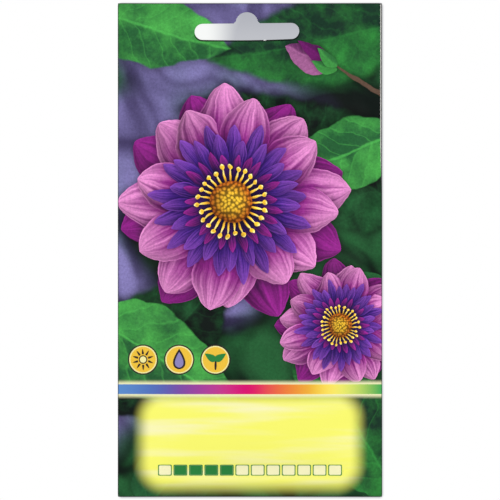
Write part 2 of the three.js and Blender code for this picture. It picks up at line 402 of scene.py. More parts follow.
def disc_group():
    """A flower's domed middle, packed with florets."""
    tree, given, place = new_shape("paint_disc", COMMON_INPUTS | {
        "Centre": ORIGIN, "Radius": 3.0, "Floret": 1.0, "Middle": WHITE, "Rim": WHITE,
    })
    offset = add(tree, VECTOR, MINUS, {0: place, 1: given["Centre"]})
    radius = add(tree, VECTOR, LENGTH, {0: offset})
    inside = add(tree, MATH, MINUS, {0: given["Radius"], 1: radius})
    outward = add(tree, MATH, OVER, {0: radius, 1: given["Radius"]})
    rim = add(tree, RANGE, SMOOTH, span(outward, 0.25, 1.0))
    base = add(tree, MIX, BLEND, {"Factor": rim, "A": given["Middle"], "B": given["Rim"]})
    fineness = add(tree, MATH, OVER, {0: 1.0, 1: given["Floret"]})
    cells = add(tree, CELLS, {"voronoi_dimensions": "2D"},
                {"Vector": offset, "Scale": fineness, "Randomness": 0.8})
    bead = add(tree, RANGE, SMOOTH, span(cells.outputs["Distance"], 0.1, 0.65, 1.25, 0.3))
    facing = add(tree, VECTOR, DOT, {0: offset, 1: LIT_FROM})
    shaped = chain(tree, MATH, facing, (OVER, given["Radius"]), (TIMES_PLUS, 0.3, 1.0), (TIMES, bead))
    colour = add(tree, MIX, SCALING, {"Factor": shaped, "A": BLACK, "B": base})
    return lay_over(tree, given, inside, colour)


def panel_group():
    """A flat box with round corners, or a row of Count of them, Pitch apart, from Centre on."""
    tree, given, place = new_shape("paint_panel", COMMON_INPUTS | {
        "Centre": ORIGIN, "Half Size": (5.0, 5.0, 0.0), "Corner": 1.0, "Fill": WHITE,
        "Pitch": 10.0, "Count": 1.0,
    })
    offset = add(tree, VECTOR, MINUS, {0: place, 1: given["Centre"]})
    axes = add(tree, SPLIT, links={0: offset}).outputs
    whole = chain(tree, MATH, axes["X"], (OVER, given["Pitch"]), ({"operation": "ROUND"},))
    last = add(tree, MATH, MINUS, {0: given["Count"], 1: 1.0})
    number = add(tree, CLAMP, links={"Value": whole, "Min": 0.0, "Max": last})
    shift = add(tree, MATH, TIMES, {0: number, 1: given["Pitch"]})
    nearest = add(tree, JOIN, links={"X": shift})
    local = add(tree, VECTOR, MINUS, {0: offset, 1: nearest})
    inside = depth_in_box(tree, local, ORIGIN, given["Half Size"], given["Corner"])
    return lay_over(tree, given, inside, given["Fill"])


BLADE, PETALS, DISC, PANEL = (
    {"node_tree": tree} for tree in (blade_group(), petals_group(), disc_group(), panel_group())
)


# ---------------------------------------------------------------- the front's print

LILAC_DEEP = linear("4c436c")
LILAC_LIGHT = linear("8f87bd")
GREEN_BLACK = linear("0d1a16")
GREEN_SHADE = linear("1f4030")
GREEN_DARK = linear("2f6a3f")
GREEN_LOW = linear("3c9246")
GREEN_BRIGHT = linear("5ab95a")
STEM = linear("6b5548")
PURPLE_BLACK = linear("180a30")
PURPLE_DEEP = linear("38155a")
VIOLET = linear("40207c")
VIOLET_LIGHT = linear("7a46a4")
PETAL_DEEP = linear("591858")
PETAL_MIDDLE = linear("8f2986")
PETAL_PALE = linear("d68cc2")
YELLOW = linear("f2c53f")
ORANGE = linear("b8651f")
CREAM = linear("f8f0a6")
PANEL_YELLOW = linear("fffe72")
GLOW = linear("fffbc8")
INK = linear("2a2326")
LEAF_INK = linear("2c8440")
EARTH = linear("6b4a35")
BACK_CREAM = linear("fdfae4")
BACK_GREEN = linear("e6efc4")
PAPER_WHITE = linear("f6f6f4")

INK_DENSITY = 1.12  # the picture's gamma: its darks are inked more heavily than its lights
PRINT_SHEEN = 0.3
PRINT_EDGE_SHADE = 0.34, 0.7  # how far in the painted shade along the cut edges reaches, and how dark it is at the edge
PAPER_EDGE_SHADE = 0.48, 0.88  # the same for bare paper, where the painted shade is wider and darker

# Leaves behind the flowers, from the back one forward:
# base x, base z, turn in degrees, length, half width, bend, edge softness, dark and light green.
LEAVES = (
    (48, -2, 196, 60, 14, 5, 1.4, GREEN_SHADE, GREEN_LOW),
    (50, -60, 150, 62, 16, 6, 1.0, GREEN_BLACK, GREEN_DARK),
    (-46, -118, 40, 60, 17, -4, 1.0, GREEN_BLACK, GREEN_DARK),
    (-46, 2, -22, 44, 12, -4, 0.4, GREEN_DARK, GREEN_BRIGHT),
    (46, -36, 205, 40, 11, 3, 0.2, GREEN_DARK, GREEN_BRIGHT),
    (-47, -92, -28, 56, 14, 5, 0.2, GREEN_DARK, GREEN_BRIGHT),
    (46, -146, 118, 58, 15, -5, 0.2, GREEN_SHADE, GREEN_LOW),
    (44, -82, 205, 30, 9, 3, 0.1, GREEN_DARK, GREEN_LOW),
    (-30, -152, 58, 44, 12, 4, 0.2, GREEN_SHADE, GREEN_DARK),
)

# The rings of one flower, from the back one forward: petals, turn, inner and outer radius,
# half width, how far out it is widest, and its colours from base to tip.
FLOWER_RINGS = (
    (8, 0.00, 4, 38, 8.6, 1.3, PURPLE_DEEP, PETAL_DEEP, PETAL_MIDDLE),
    (8, 0.33, 4, 37, 8.2, 1.3, PURPLE_DEEP, PETAL_MIDDLE, PETAL_PALE),
    (8, 0.67, 4, 34, 7.6, 1.4, PURPLE_DEEP, PETAL_MIDDLE, PETAL_PALE),
    (17, 0.2, 4, 26, 2.3, 1.7, PURPLE_BLACK, VIOLET, VIOLET_LIGHT),
    (17, 0.7, 4, 22, 2.1, 1.7, PURPLE_BLACK, VIOLET, VIOLET_LIGHT),
    (23, 0.1, 4, 16.5, 1.3, 1.6, PURPLE_BLACK, PURPLE_DEEP, PETAL_MIDDLE),
    (27, 0.5, 5, 10.8, 0.32, 1.0, ORANGE, YELLOW, CREAM),
    (27, 0.5, 10.0, 11.8, 0.7, 1.0, YELLOW, YELLOW, CREAM),
)

BROAD_RINGS = 3  # the first rings, whose broad petals throw a wider shadow
THREAD_RING = 6  # a ring of threads, which the next one tips and so shares its chances with
RING_STEP = 7.1  # sets one ring's draw of chances apart from the next one's

# The flowers: centre x and z, size against the rings above, and turn in petals.
FLOWERS = ((29, -94.5, 0.56, 0.4), (-4, -57, 1.0, 0.1))


def foliage_blur(tree, place):
    """The print's far background: lilac light and green shade, out of focus."""
    drift = add(tree, NOISE, FLAT, {"Vector": place, "Scale": 1 / 36, "Detail": 1.0})
    fine = add(tree, NOISE, FLAT, {"Vector": place, "Scale": 1 / 20, "Detail": 2.0, "Distortion": 0.6})
    slope = add(tree, VECTOR, DOT, {0: place, 1: (0.0035, -0.0032, 0.0)})  # greener to lower right
    leaning = add(tree, MATH, PLUS, {0: drift, 1: slope})
    greenness = add(tree, RANGE, SMOOTH, span(leaning, 0.52, 0.7))
    lightness = add(tree, RANGE, SMOOTH, span(fine, 0.3, 0.7))
    lilac = add(tree, MIX, BLEND, {"Factor": lightness, "A": LILAC_DEEP, "B": LILAC_LIGHT})
    green = add(tree, MIX, BLEND, {"Factor": lightness, "A": GREEN_BLACK, "B": GREEN_DARK})
    return add(tree, MIX, BLEND, {"Factor": greenness, "A": lilac, "B": green})


def blade_at(x, z, turn, length, half_width):
    """The inputs that place a blade: where its base is, its turn in degrees and its size."""
    return {"Base": (x, z, 0), "Turn": (0, 0, math.radians(turn)), "Length": length,
            "Half Width": half_width}


def paint_leaves(tree, place, colour, leaves):
    tatter = add(tree, NOISE, FLAT, {"Vector": place, "Scale": 1 / 7.7, "Detail": 1.0})
    mottle = add(tree, NOISE, FLAT, {"Vector": place, "Scale": 1 / 9, "Detail": 5.0, "Roughness": 0.6})
    for *where, bend, soft, dark, light in leaves:
        colour = add(tree, GROUP, BLADE, blade_at(*where) | {
            "Under": colour, "Place": place, "Bend": bend, "Tatter": tatter, "Ragged": 3.0,
            "Mottle": mottle, "Veins": 0.4 / (1 + 2 * soft), "Dark": dark, "Light": light,
            "Soft": soft, "Shadow": 0.75, "Reach": 4.0,
        })
    return colour


def paint_flower(tree, place, colour, x, z, size, turn, cover=1.0):
    for i, ring in enumerate(FLOWER_RINGS):
        petals, shift, inner, outer, half_width, widest, base, middle, tip = ring
        colour = add(tree, GROUP, PETALS, {
            "Under": colour, "Place": place, "Centre": (x, z, 0), "Petals": petals,
            "Start": shift + turn, "Inner": inner * size, "Outer": outer * size,
            "Half Width": half_width * size, "Widest": widest,
            "Seed": min(i, THREAD_RING) * RING_STEP + x, "Base": base, "Middle": middle, "Tip": tip,
            "Cover": cover, "Shadow": 0.6 * cover**2,
            "Reach": (3.0 if i < BROAD_RINGS else 1.4) * size,
        })
    return add(tree, GROUP, DISC, {
        "Under": colour, "Place": place, "Centre": (x, z, 0), "Radius": 6.4 * size,
        "Floret": 1.15 * size, "Middle": YELLOW, "Rim": ORANGE, "Cover": cover,
        "Shadow": 0.7 * cover**2, "Reach": 1.2,
    })


# A closed bud on its stem, up by the header: base x and z, turn, length, half width and how early
# it is widest for each of its parts, with their colours.
BUD = (
    (46, -27, 150, 24, 0.7, 0.6, STEM, STEM),
    (26, -16, 158, 15, 4.6, 0.75, PETAL_DEEP, PETAL_PALE),
    (27, -15.4, 148, 13, 2.4, 0.8, PETAL_DEEP, PETAL_MIDDLE),
    (28, -17, 166, 8, 2.0, 0.7, GREEN_DARK, GREEN_BRIGHT),
    (28, -16, 140, 8, 1.9, 0.7, GREEN_DARK, GREEN_BRIGHT),
)


def paint_bud(tree, place, colour):
    for *where, early, dark, light in BUD:
        colour = add(tree, GROUP, BLADE, blade_at(*where) | {
            "Under": colour, "Place": place, "Early": early, "Bend": 0.8, "Veins": 0.12,
            "Dark": dark, "Light": light, "Shadow": 0.6, "Reach": 1.5,
        })
    return colour


def paint_panels(tree, place, colour, x, z, panels, pitch=10.0, count=1):
    """Flat boxes one on another, at one spot or at count in a row: half width, half height, corner
    radius, softness of the edge and fill of each."""
    for half_width, half_height, corner, soft, fill in panels:
        colour = add(tree, GROUP, PANEL, {
            "Under": colour, "Place": place, "Centre": (x, z, 0),
            "Half Size": (half_width, half_height, 0), "Corner": corner, "Soft": soft,
            "Fill": fill, "Pitch": pitch, "Count": count,
        })
    return colour


def paint_rounds(tree, place, colour, x, z, rounds, pitch=10.0, count=1):
    """The same for rounds: radius and fill of each."""
    panels = [(radius, radius, radius, 0.0, fill) for radius, fill in rounds]
    return paint_panels(tree, place, colour, x, z, panels, pitch, count)


# The plain part of the front's print: a panel under a colour band, boxes for months, badges.
LABEL_X, LABEL_Z = 1, -130.5
BAND_Z = -114.6
RAY_TURN = math.radians(-24)
RAY_LENGTH, RAY_WIDTH = 50, 4
MONTHS, MONTH_PITCH = 12, 4.7
MONTHS_Z = -139.2
BADGES_X, BADGES_Z, BADGES_PITCH = -31.5, -105.6, 11.0


def rainbow(tree, place):
    """A band of colour that runs from blue to green across the packet."""
    axes = add(tree, SPLIT, links={0: place}).outputs
    share = add(tree, RANGE, links=span(axes["X"], LEFT, RIGHT))
    ramp = add(tree, "ShaderNodeValToRGB", links={0: share})
    ramp.color_ramp.interpolation = "CARDINAL"
    stops = {0.0: "5b8fd0", 0.2: "6a5bb0", 0.38: "c23a92", 0.55: "e8415a", 0.72: "f5b23c",
             0.84: "f4ee6a", 1.0: "3fae58"}
    while len(ramp.color_ramp.elements) < len(stops):
        ramp.color_ramp.elements.new(0.5)
    for element, (position, colour) in zip(ramp.color_ramp.elements, stops.items()):
        element.position = position
        element.color = linear(colour)
    return ramp


def paint_label(tree, place, colour):
    """The blank pale yellow panel with its glow, and the colour band above it."""
    ray_place = add(tree, MAPPING, links={"Vector": place, "Rotation": (0, 0, RAY_TURN),
                                          "Scale": (1 / RAY_LENGTH, 1 / RAY_WIDTH, 1.0)})
    rays = add(tree, NOISE, FLAT, {"Vector": ray_place, "Scale": 1.0})
    ray = add(tree, RANGE, SMOOTH, span(rays, 0.4, 0.9))
    fill = add(tree, MIX, BLEND, {"Factor": ray, "A": PANEL_YELLOW, "B": GLOW})
    colour = paint_panels(tree, place, colour, LABEL_X, LABEL_Z, [(33, 14, 7.0, 3.0, fill)])
    band = ((60, 2.2, 2.2, 0.8, GLOW), (60, 1.5, 1.5, 0.0, rainbow(tree, place)))
    return paint_panels(tree, place, colour, LABEL_X, BAND_Z, band)


def paint_months(tree, place, colour, x, z, first, count):
    """Twelve boxes in a row, one for each month, of which count are filled from the first on."""
    left = x - (MONTHS - 1) / 2 * MONTH_PITCH
    rows = ((left, MONTHS, 2.1, LEAF_INK), (left, MONTHS, 1.8, GLOW),
            (left + first * MONTH_PITCH, count, 1.8, LEAF_INK))
    for start, boxes, half, fill in rows:
        box = (half, 0.8 * half, 0.4, 0.0, fill)
        colour = paint_panels(tree, place, colour, start, z, [box], MONTH_PITCH, boxes)
    return colour


def paint_sun(tree, place, colour, x, z):
    colour = add(tree, GROUP, PETALS, {
        "Under": colour, "Place": place, "Centre": (x, z, 0), "Petals": 10, "Inner": 1.2,
        "Outer": 3.3, "Half Width": 0.32, "Widest": 0.6, "Vary": 0.0, "Relief": 0.0,
        "Base": INK, "Middle": INK, "Tip": INK,
    })
    return paint_rounds(tree, place, colour, x, z, ((1.6, YELLOW), (1.3, INK), (0.95, CREAM)))


def paint_symbol(tree, place, colour, blades):
    """A plain symbol made of blades: base x and z, turn, length, half width, bend and colour."""
    for *where, bend, paint in blades:
        colour = add(tree, GROUP, BLADE, blade_at(*where) | {
            "Under": colour, "Place": place, "Bend": bend, "Early": 0.6, "Dark": paint,
            "Light": paint,
        })
    return colour


def leaf_pair(x, z, length, half_width, spread):
    """Two small leaves for paint_symbol, each spread degrees off upright."""
    return [(x, z, 90 + side * spread, length, half_width, -side * 0.5, LEAF_INK) for side in (-1, 1)]


def paint_symbols(tree, place, colour):
    """Three badges side by side: sun, water and sprout."""
    sun_x, drop_x, sprout_x = (BADGES_X + i * BADGES_PITCH for i in range(3))
    badge = ((4.6, INK), (4.2, CREAM), (3.85, YELLOW))
    colour = paint_rounds(tree, place, colour, sun_x, BADGES_Z, badge, BADGES_PITCH, 3)
    colour = paint_sun(tree, place, colour, sun_x, BADGES_Z)
    return paint_symbol(tree, place, colour, [
        (drop_x, BADGES_Z - 2.9, 90, 6.2, 1.9, 0, INK),
        (drop_x, BADGES_Z - 2.4, 90, 4.7, 1.3, 0, LILAC_LIGHT),
        (sprout_x, BADGES_Z - 3.2, 88, 4.6, 0.35, 0, INK),
        *leaf_pair(sprout_x, BADGES_Z - 0.4, 3.9, 1.1, 48),
    ])


def print_grain(tree, place, colour, strength):
    """The dot screen of offset print, 0.15 mm fine and too fine to show, drawn as grain of 0.8 mm
    and less, and the slow drift of the ink's density, over 11 mm and less."""
    grain = add(tree, NOISE, FLAT, {"Vector": place, "Scale": 1 / 0.8, "Detail": 3.0, "Roughness": 0.8})
    cloud = add(tree, NOISE, FLAT, {"Vector": place, "Scale": 1 / 11, "Detail": 3.0})
    speckle = add(tree, RANGE, links=noise_span(grain, 1 - strength, 1 + strength))
    drift = add(tree, RANGE, links=noise_span(cloud, 1 - strength / 2, 1 + strength / 2))
    both = add(tree, MATH, TIMES, {0: speckle, 1: drift})
    return add(tree, MIX, SCALING, {"Factor": both, "A": BLACK, "B": colour})


def painted_edge_shade(tree, place, reach, strength):
    """Painted shade along the trimmed edges: how grey they are painted, up to reach millimetres in."""
    inside = depth_in_area(tree, place, PACKET, 0.6)
    return add(tree, RANGE, SMOOTH, span(inside, 0.4 * reach, reach, strength, 0.0))


def painted_lip_shade(tree, place):
    """Painted shade along the slot's lower lip: how dark the print is painted there."""
    end_radius = SLOT_HEIGHT / 2
    bar_z = -HUMP_RADIUS - end_radius
    upright = add(tree, MAPPING, TEXTURE, {"Vector": place, "Rotation": (0, 0, SLOT_TILT)})
    axes = add(tree, SPLIT, links={0: upright}).outputs
    share = add(tree, MATH, OVER, {0: axes["X"], 1: SLOT_LENGTH / 2})
    square = add(tree, MATH, TIMES, {0: share, 1: share})
    sag = add(tree, RANGE, links=span(square, 0, 1, SLOT_SAG, 0.0))
    lifted = add(tree, MATH, PLUS, {0: axes["Y"], 1: sag})
    level = add(tree, JOIN, links={"X": axes["X"], "Y": lifted})
    inside = depth_in_box(tree, level, (0, bar_z, 0), (SLOT_LENGTH / 2, end_radius, 0), end_radius)
    near = add(tree, RANGE, SMOOTH, span(inside, -0.5, -0.3, 0.0, 0.88))
    below = add(tree, RANGE, SMOOTH, span(lifted, bar_z - end_radius + 0.4, bar_z, 1.0, 0.0))
    return add(tree, MATH, TIMES, {0: near, 1: below})


# Where the punch flaked the print off the slot's lower lip: flecks for paint_symbol.
FLECKS = ((5.1, -8.52, 4, 1.0, 0.13, 0, PAPER_WHITE),)


def hand_drawn(tree, place):
    """The place, shifted unevenly by up to a millimetre, so that no printed outline is exact."""
    wobble = add(tree, NOISE, FLAT, {"Vector": place, "Scale": 1 / 6.2})
    return add(tree, VECTOR, TIMES_PLUS, {0: wobble.outputs["Color"], 1: (1.4, 1.4, 0.0), 2: place})


def front_print(tree, place):
    hand = hand_drawn(tree, place)
    colour = foliage_blur(tree, place)
    colour = paint_leaves(tree, hand, colour, LEAVES)
    colour = paint_bud(tree, hand, colour)
    for flower in FLOWERS:
        colour = paint_flower(tree, hand, colour, *flower)
    dense = add(tree, "ShaderNodeGamma", links={"Color": colour, "Gamma": INK_DENSITY})
    colour = print_grain(tree, place, dense, strength=0.16)
    colour = paint_label(tree, place, colour)
    colour = paint_months(tree, place, colour, LABEL_X, MONTHS_Z, first=1, count=4)
    return paint_symbols(tree, place, colour)


def darkened_by_painted_shade(tree, colour, painted_shades):
    """Darkens a colour by each painted shade in turn."""
    for painted_shade in painted_shades:
        colour = add(tree, MIX, BLEND, {"Factor": painted_shade, "A": colour, "B": BLACK})
    return colour


def varnish(tree, place, colour):
    """Ends a printed material: varnish that pooled unevenly, about 8 mm from patch to patch, over
    paper whose tooth is 0.1 mm and drawn at 0.5 mm so that it shows."""
    pooled = add(tree, NOISE, FLAT, {"Vector": place, "Scale": 1 / 8, "Detail": 3.0})
    roughness = add(tree, RANGE, links=noise_span(pooled, 0.31, 0.41))
    tooth = add(tree, NOISE, FLAT, {"Vector": place, "Scale": 1 / 0.5, "Detail": 2.0})
    relief = add(tree, BUMP, links={"Height": tooth, "Strength": 0.5, "Distance": 0.012 * METRE})
    shader = add(tree, PRINCIPLED, links={
        "Base Color": colour, "Roughness": roughness, "Specular IOR Level": PRINT_SHEEN,
        "Normal": relief,
    })
    add(tree, OUTPUT, links={"Surface": shader})


def printed_front():
    """Coated art paper, offset printed and varnished: full colour with a satin sheen."""
    material, tree = new_material("printed_front_paper")
    place = place_mm(tree)
    # Painted shade along the cut edges and along the slot's lower lip.
    painted_shades = painted_edge_shade(tree, place, *PRINT_EDGE_SHADE), painted_lip_shade(tree, place)
    colour = darkened_by_painted_shade(tree, front_print(tree, place), painted_shades)
    varnish(tree, place, paint_symbol(tree, place, colour, FLECKS))
    return material


# ---------------------------------------------------------------- the back's print

# The back is drawn as it is read from behind, so its x runs the other way about CENTRE_X.

# Leaves along the back's header and foot, given as in LEAVES.
BACK_LEAVES = (
    (46, 4, 188, 42, 9, 3, 0.3, GREEN_DARK, GREEN_LOW),
    (-44, 7, -18, 46, 10, -4, 0.2, GREEN_DARK, GREEN_BRIGHT),
    (30, 10, -152, 30, 7, 2, 0.2, GREEN_SHADE, GREEN_LOW),
    (-42, -153, 24, 48, 10, 4, 0.2, GREEN_DARK, GREEN_BRIGHT),
    (46, -152, 160, 44, 10, -3, 0.3, GREEN_SHADE, GREEN_LOW),
    (8, -157, 60, 20, 6, 2, 0.2, GREEN_DARK, GREEN_LOW),
)
BACK_FLOWER = (14, -66, 0.9, 0.3)  # as in FLOWERS
GHOST = 0.14  # how strongly each of its rings is printed
STEP_WHITE = linear("fffdf0")
STEPS_PITCH = 19.0
STEPS_Z = -27.0
SOIL_Z = STEPS_Z - 5.5
NOTES_Z = -112.0
BACK_BAND_Z = -128.5

# The steps in the plant's growth: stem height and pairs of leaves.
GROWTH = ((0, 0), (4.0, 1), (7.0, 2), (8.5, 2))

# Rows of month boxes: z, the first month filled and how many are.
BACK_MONTHS = ((-86.0, 1, 3), (-92.0, 5, 4))


def growth_blades(x, height, pairs):
    """A stem with pairs of leaves up it, as blades for paint_symbol."""
    blades = [(x, SOIL_Z, 90, height, 0.35, 0, LEAF_INK)]
    for i in range(pairs):
        blades += leaf_pair(x, SOIL_Z + height * (i + 0.7) / (pairs + 0.4), 4.2 - i, 1.0, 52)
    return blades


def paint_growth(tree, place, colour):
    """Four framed pictures in a row: a seed in the ground, a sprout, a young plant, a flower."""
    steps = len(GROWTH)
    first_x = CENTRE_X - (steps - 1) / 2 * STEPS_PITCH
    last_x = first_x + (steps - 1) * STEPS_PITCH
    frame_rows = ((8.4, 8.4, 1.6, 0.0, LEAF_INK), (8.1, 8.1, 1.4, 0.0, STEP_WHITE))
    soil_rows = [(7.4, 1.2, 0.8, 0.0, EARTH)]
    for z, panels in ((STEPS_Z, frame_rows), (SOIL_Z - 1.1, soil_rows)):
        colour = paint_panels(tree, place, colour, first_x, z, panels, STEPS_PITCH, steps)
    colour = paint_rounds(tree, place, colour, first_x, SOIL_Z - 0.6, ((0.9, CREAM), (0.65, INK)))
    for i, (height, pairs) in enumerate(GROWTH):
        if height:
            blades = growth_blades(first_x + i * STEPS_PITCH, height, pairs)
            colour = paint_symbol(tree, place, colour, blades)
    bloom_z = SOIL_Z + GROWTH[-1][0]
    colour = add(tree, GROUP, PETALS, {
        "Under": colour, "Place": place, "Centre": (last_x, bloom_z, 0), "Petals": 9,
        "Inner": 0.5, "Outer": 4.0, "Half Width": 1.0, "Base": PETAL_DEEP,
        "Middle": PETAL_MIDDLE, "Tip": PETAL_PALE,
    })
    return paint_rounds(tree, place, colour, last_x, bloom_z, ((1.2, ORANGE), (0.9, YELLOW)))


def back_print(tree, place):
    hand = hand_drawn(tree, place)
    axes = add(tree, SPLIT, links={0: place}).outputs
    height = add(tree, RANGE, SMOOTH, span(axes["Y"], BOTTOM, -40.0))
    colour = add(tree, MIX, BLEND, {"Factor": height, "A": BACK_GREEN, "B": BACK_CREAM})
    colour = paint_flower(tree, hand, colour, *BACK_FLOWER, cover=GHOST)
    colour = paint_leaves(tree, hand, colour, BACK_LEAVES)
    colour = print_grain(tree, place, colour, strength=0.08)
    colour = paint_growth(tree, place, colour)
    for z, first, count in BACK_MONTHS:
        colour = paint_months(tree, place, colour, CENTRE_X, z, first, count)
    notes = ((34.3, 13.3, 2.3, 0.0, LEAF_INK), (34.0, 13.0, 2.0, 0.0, BACK_CREAM))
    colour = paint_panels(tree, place, colour, CENTRE_X, NOTES_Z, notes)
    band = (34, 0.9, 0.9, 0.0, rainbow(tree, place))
    return paint_panels(tree, place, colour, CENTRE_X, BACK_BAND_Z, [band])


def printed_back():
    """The same coated paper, printed more lightly on its back: pale, with the same sheen."""
    material, tree = new_material("printed_back_paper")
    place = place_mm(tree)
    from_behind = add(tree, VECTOR, TIMES_PLUS,
                      {0: place, 1: (-1.0, 1.0, 1.0), 2: (2 * CENTRE_X, 0.0, 0.0)})
    colour = back_print(tree, from_behind)
    # Painted shade along the cut edges darkens the back's print.
    varnish(tree, place, darkened_by_painted_shade(tree, colour, [painted_edge_shade(tree, place, *PRINT_EDGE_SHADE)]))
    return material


# ---------------------------------------------------------------- the plain materials


def bare_paper():
    """The same paper unprinted, at its cut edges and inside: matt, white and faintly clouded by its
    fibres, which are 0.7 mm long. The painted shade along its cut edges reaches further in than on the
    print."""
    material, tree = new_material("bare_paper")
    place = place_mm(tree)
    fibre = add(tree, NOISE, FLAT, {"Vector": place, "Scale": 1 / 0.7, "Detail": 4.0, "Roughness": 0.7})
    white = add(tree, MIX, BLEND, {"Factor": fibre, "A": linear("e6e5e0"), "B": linear("fbfbf8")})
    # Painted shade along the cut edges.
    colour = darkened_by_painted_shade(tree, white, [painted_edge_shade(tree, place, *PAPER_EDGE_SHADE)])
    roughness = add(tree, RANGE, links=noise_span(fibre, 0.72, 0.88))
    relief = add(tree, BUMP, links={"Height": fibre, "Strength": 0.5, "Distance": 0.02 * METRE})
    shader = add(tree, PRINCIPLED,
                 links={"Base Color": colour, "Roughness": roughness, "Normal": relief})
    add(tree, OUTPUT, links={"Surface": shader})
    return material


def dried_glue():
    """Dried clear adhesive: a faintly yellow film, smooth and shiny between the streaks that the
    roller left about 2 mm apart."""
    material, tree = new_material("dried_glue")
    place = place_mm(tree)
    drawn = add(tree, MAPPING, links={"Vector": place, "Scale": (1 / 2, 1 / 25, 1.0)})
    streaks = add(tree, NOISE, FLAT, {"Vector": drawn, "Scale": 1.0, "Detail": 3.0})
    colour = add(tree, MIX, BLEND, {"Factor": streaks, "A": linear("d9cda4"), "B": linear("f3efdf")})
    roughness = add(tree, RANGE, links=noise_span(streaks, 0.18, 0.5))
    shader = add(tree, PRINCIPLED, links={"Base Color": colour, "Roughness": roughness, "IOR": 1.48})
    add(tree, OUTPUT, links={"Surface": shader})
    return material


def sachet_foil():
    """Laminated aluminium foil: satin silver, finely creased, and pressed into ribs along its
    sealed seams."""
    crease, rib_pitch = 2.0, 1.2
    material, tree = new_material("sachet_foil")
    place = place_mm(tree)
    inside = depth_in_area(tree, place, SACHET, 2 * SACHET_SEAM)
    sealed = add(tree, RANGE, SMOOTH, span(inside, SACHET_SEAM - 0.3, SACHET_SEAM, 1.0, 0.0))
    rib = chain(tree, MATH, inside, (TIMES, math.tau / rib_pitch), (SINE,))
    creases = add(tree, CELLS, {"voronoi_dimensions": "2D", "feature": "F1"},
                  {"Vector": place, "Scale": 1 / crease})
    creased = add(tree, MATH, TIMES, {0: creases.outputs["Distance"], 1: 2.0})
    height = add(tree, MIX, {"data_type": "FLOAT"}, {"Factor": sealed, "A": creased, "B": rib})
    relief = add(tree, BUMP, links={"Height": height, "Strength": 0.5, "Distance": 0.05 * METRE})
    haze = add(tree, NOISE, FLAT, {"Vector": place, "Scale": 1 / 3, "Detail": 4.0})
    roughness = add(tree, RANGE, links=noise_span(haze, 0.22, 0.38))
    shader = add(tree, PRINCIPLED, links={
        "Base Color": linear("c9ccd1"), "Metallic": 1.0, "Roughness": roughness, "Normal": relief,
    })
    add(tree, OUTPUT, links={"Surface": shader})
    return material


def seed_coat():
    """A hard seed coat: nearly black, waxy, and browner in patches of 1.7 mm and less."""
    material, tree = new_material("seed_coat")
    place = add(tree, "ShaderNodeTexCoord").outputs["Object"]
    patches = add(tree, NOISE, links={"Vector": place, "Scale": 1 / (1.7 * METRE), "Detail": 4.0})
    colour = add(tree, MIX, BLEND, {"Factor": patches, "A": linear("1d1512"), "B": linear("4a3527")})
    roughness = add(tree, RANGE, links=noise_span(patches, 0.4, 0.65))
    shader = add(tree, PRINCIPLED, links={"Base Color": colour, "Roughness": roughness})
    add(tree, OUTPUT, links={"Surface": shader})
    return material


# ---------------------------------------------------------------- the shape of the sheets

# How far each corner curls forward, and how far in from the corner that reaches.
CURLS = ((LEFT, TOP, 0.35), (RIGHT, TOP, 0.6), (LEFT, BOTTOM, 0.5), (RIGHT, BOTTOM, 0.4))
CURL_REACH = 13
SIDE_BOW = 0.25  # how far forward the packet's sides are bent
RIPPLE, RIPPLE_PITCH = 0.15, 34  # the header's gentle waves
PUCKER, PUCKER_PITCH, PUCKER_REACH = 0.12, 5, 2.5  # the small folds that run in from the seams
IMPRINT = 0.12  # how far the sachet's edge stands out in the paper over it
CRINKLE, CRINKLE_PITCH = 0.14, 7  # the foil's creases


def ease(value, start, end):
    """0 up to start and 1 from end on, with a smooth rise between."""
    share = min(1, max(0, (value - start) / (end - start)))
    return share * share * (3 - 2 * share)


def fullness(hollow, fullest, x, z):
    """How far a sheet stands out over a hollow, from 0 at its seams to 1 where it is fullest."""
    across = 2 * (x - hollow.left) / (hollow.right - hollow.left) - 1
    height = z - hollow.bottom
    up = height / (hollow.top - hollow.bottom)
    if abs(across) >= 1 or up <= 0 or up >= 1:
        return 0.0
    lean = math.log(0.5) / math.log(fullest)
    dome = (1 - abs(across) ** 2.4) * math.sin(math.pi * up**lean)
    return dome * (1 - math.exp(-height / SEAM_EASE))


def warp(x, z):
    """How far back from its flat plane the packet is bent at a place. All its sheets share this,
    so none of them comes any nearer to the next."""
    bow = SIDE_BOW * ((x - CENTRE_X) / HALF_WIDTH) ** 2
    curl = sum(c * math.exp(-(math.dist((x, z), (cx, cz)) / CURL_REACH) ** 2) for cx, cz, c in CURLS)
    wave = RIPPLE * math.sin(math.tau * (x + z / 2) / RIPPLE_PITCH)
    return wave * ease(z, POUCH.top - 14, POUCH.top) - curl - bow


def pucker(x, z):
    """The small folds at the pouch's seams, which both leaves share."""
    folds = 0
    for along, inward in ((z, min(x - POUCH.left, POUCH.right - x)),
                          (x, min(z - POUCH.bottom, POUCH.top - z))):
        share = max(0, inward) / PUCKER_REACH
        folds += noise.noise(Vector((along / PUCKER_PITCH, 7.5, 0))) * share * math.exp(1 - share)
    return PUCKER * folds * ease(depth_within(POUCH, x, z), 0, PUCKER_REACH)


def crinkle(x, z):
    """The creases of the sachet where it is free, which both foils share."""
    place = Vector((x, z, 0)) / CRINKLE_PITCH
    creases = abs(noise.noise(place)) + 0.5 * abs(noise.noise(2.3 * place)) - 0.3
    return CRINKLE * creases * ease(depth_within(SACHET_HOLLOW, x, z), 0, 3)


def even_steps(start, end, steps):
    return [start + (end - start) * i / steps for i in range(steps + 1)]


def arc(x, z, radius, start, end, steps):
    """Points along an arc, from one angle to another, in degrees."""
    angles = [math.radians(a) for a in even_steps(start, end, steps)]
    return [(x + radius * math.cos(a), z + radius * math.sin(a)) for a in angles]


